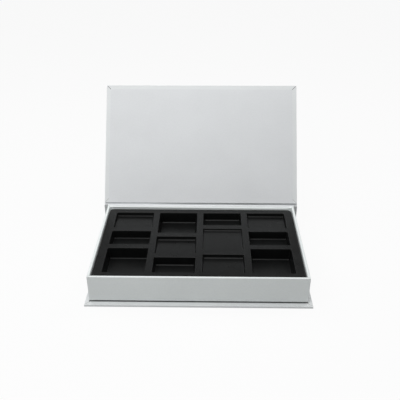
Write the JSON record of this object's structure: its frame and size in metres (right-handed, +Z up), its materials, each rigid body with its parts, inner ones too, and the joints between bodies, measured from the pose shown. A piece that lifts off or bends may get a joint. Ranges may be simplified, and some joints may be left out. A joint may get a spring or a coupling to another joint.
{
  "type": "chocolate box",
  "caption": "Open book-style rigid box with a hinged flat lid, a walled tray and a formed black insert with pockets for chocolates.",
  "frame": {"origin": "centre of the underside of the case, which is the flat face that the box rests on", "axes": "+X to the right as seen from the front, across the box; +Y to the back, where the lid hinges; +Z up"},
  "size_m": [0.208, 0.2075, 0.1384],
  "materials": {
    "cover_paper": "matte silver-white cover paper with a fine satin grain",
    "lining_paper": "matte pale lining paper",
    "greyboard": "raw grey recycled board",
    "stay_paper": "gummed brown kraft tape",
    "formed_plastic": "satin black vacuum-formed sheet"
  },
  "bodies": {
    "case": {"base_board": "greyboard", "base_wrap": "cover_paper", "spine_board": "greyboard", "spine_wrap": "cover_paper", "spine_liner": "lining_paper", "hinge_fold": "cover_paper", "tray_board": "greyboard", "tray_wrap": "cover_paper", "tray_floor_liner": "lining_paper", "corner_stay_front_left": "stay_paper", "corner_stay_front_right": "stay_paper", "corner_stay_rear_left": "stay_paper", "corner_stay_rear_right": "stay_paper"},
    "lid": {"lid_board": "greyboard", "lid_wrap": "cover_paper", "lid_liner": "lining_paper"},
    "insert": {"insert": "formed_plastic"}
  },
  "joints": [
    {"name": "lid_hinge", "type": "hinge", "parent": "case", "child": "lid", "pos_m": [0, 0.06557, 0.0305], "axis": [-1, 0, 0], "range_deg": [-124.5, 67.5], "deforming": ["hinge_fold"]},
    {"name": "insert_lift", "type": "slide", "parent": "case", "child": "insert", "axis": [0, 0, 1], "range_m": [0, 0.035]}
  ]
}
